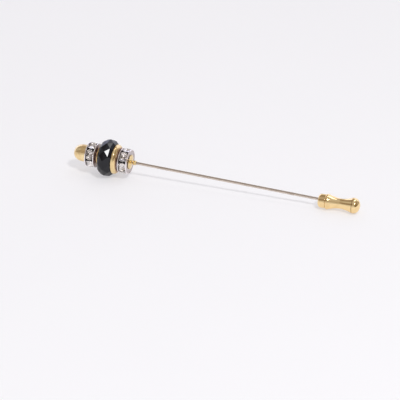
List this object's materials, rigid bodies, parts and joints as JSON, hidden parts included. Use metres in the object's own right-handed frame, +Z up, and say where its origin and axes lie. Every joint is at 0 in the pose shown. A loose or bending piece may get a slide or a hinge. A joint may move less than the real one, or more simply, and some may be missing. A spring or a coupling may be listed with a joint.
{
  "type": "tie pin",
  "caption": "Stick-type tie pin: a black faceted bead between gold caps and stone-set rondelles on a steel wire, its point held in a barrel guard that slides off.",
  "frame": {"origin": "under the middle of the whole pin, on the surface that it lies on", "axes": "+X along the pin from the head to the guard, +Z up, as it lies by itself on a flat surface"},
  "size_m": [0.0744, 0.0092, 0.0093],
  "materials": {
    "gold": "polished pale gold plate",
    "silver": "polished silver plate",
    "steel": "drawn wire",
    "jet": "opaque black glass, polished facets",
    "crystal": "clear cut glass"
  },
  "bodies": {
    "pin": {"end_cap": "gold", "rondelle_1": "silver", "spacer_disc": "gold", "black_bead": "jet", "bead_cup": "gold", "rondelle_2": "silver", "small_cap": "gold", "stop_ball": "gold", "shaft": "steel", "stone_1_1": "crystal", "stone_1_2": "crystal", "stone_1_3": "crystal", "stone_1_4": "crystal", "stone_1_5": "crystal", "stone_1_6": "crystal", "stone_2_1": "crystal", "stone_2_2": "crystal", "stone_2_3": "crystal", "stone_2_4": "crystal", "stone_2_5": "crystal", "stone_2_6": "crystal"},
    "clutch": {"clutch_collar": "gold", "clutch_sleeve": "gold", "clutch_button": "gold"}
  },
  "joints": [
    {"name": "clutch_slide", "type": "slide", "parent": "pin", "child": "clutch", "axis": [1, 0, 0], "range_m": [0, 0.022]}
  ]
}
